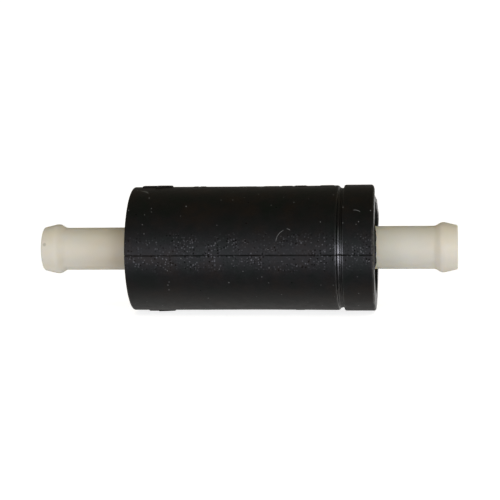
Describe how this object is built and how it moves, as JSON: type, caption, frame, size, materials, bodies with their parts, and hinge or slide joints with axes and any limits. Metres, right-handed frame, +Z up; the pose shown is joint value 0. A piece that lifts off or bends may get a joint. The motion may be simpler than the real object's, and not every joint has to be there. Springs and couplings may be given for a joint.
{
  "type": "fuel filter",
  "caption": "Small in-line fuel filter: a rubber-jacketed nylon capsule with a barbed hose nipple at each end and a pleated paper element inside.",
  "frame": {"origin": "middle of the filter's own axis, halfway between the two nipple tips, which is the centre of its box", "axes": "+X along the axis in the direction of flow, towards the outlet nipple; +Z up as the filter lies on its side, with the jacket's mould seam facing -Y"},
  "size_m": [0.078, 0.0234, 0.0236],
  "materials": {
    "black_rubber": "satin moulded",
    "natural_nylon": "natural, slightly translucent",
    "filter_paper": "resin-treated",
    "cream_adhesive": "cured",
    "seal_rubber": "smooth",
    "plated_steel": "zinc plated"
  },
  "bodies": {
    "root": {"rubber_jacket": "black_rubber", "inlet_cap": "natural_nylon", "outlet_cap": "natural_nylon", "capsule_tube": "natural_nylon", "inlet_end_disc": "natural_nylon", "outlet_end_disc": "natural_nylon", "centre_tube": "natural_nylon", "pleated_paper": "filter_paper", "seam_clip": "plated_steel", "inlet_bond_layer": "cream_adhesive", "outlet_bond_layer": "cream_adhesive", "outlet_grommet": "seal_rubber"}
  },
  "joints": []
}
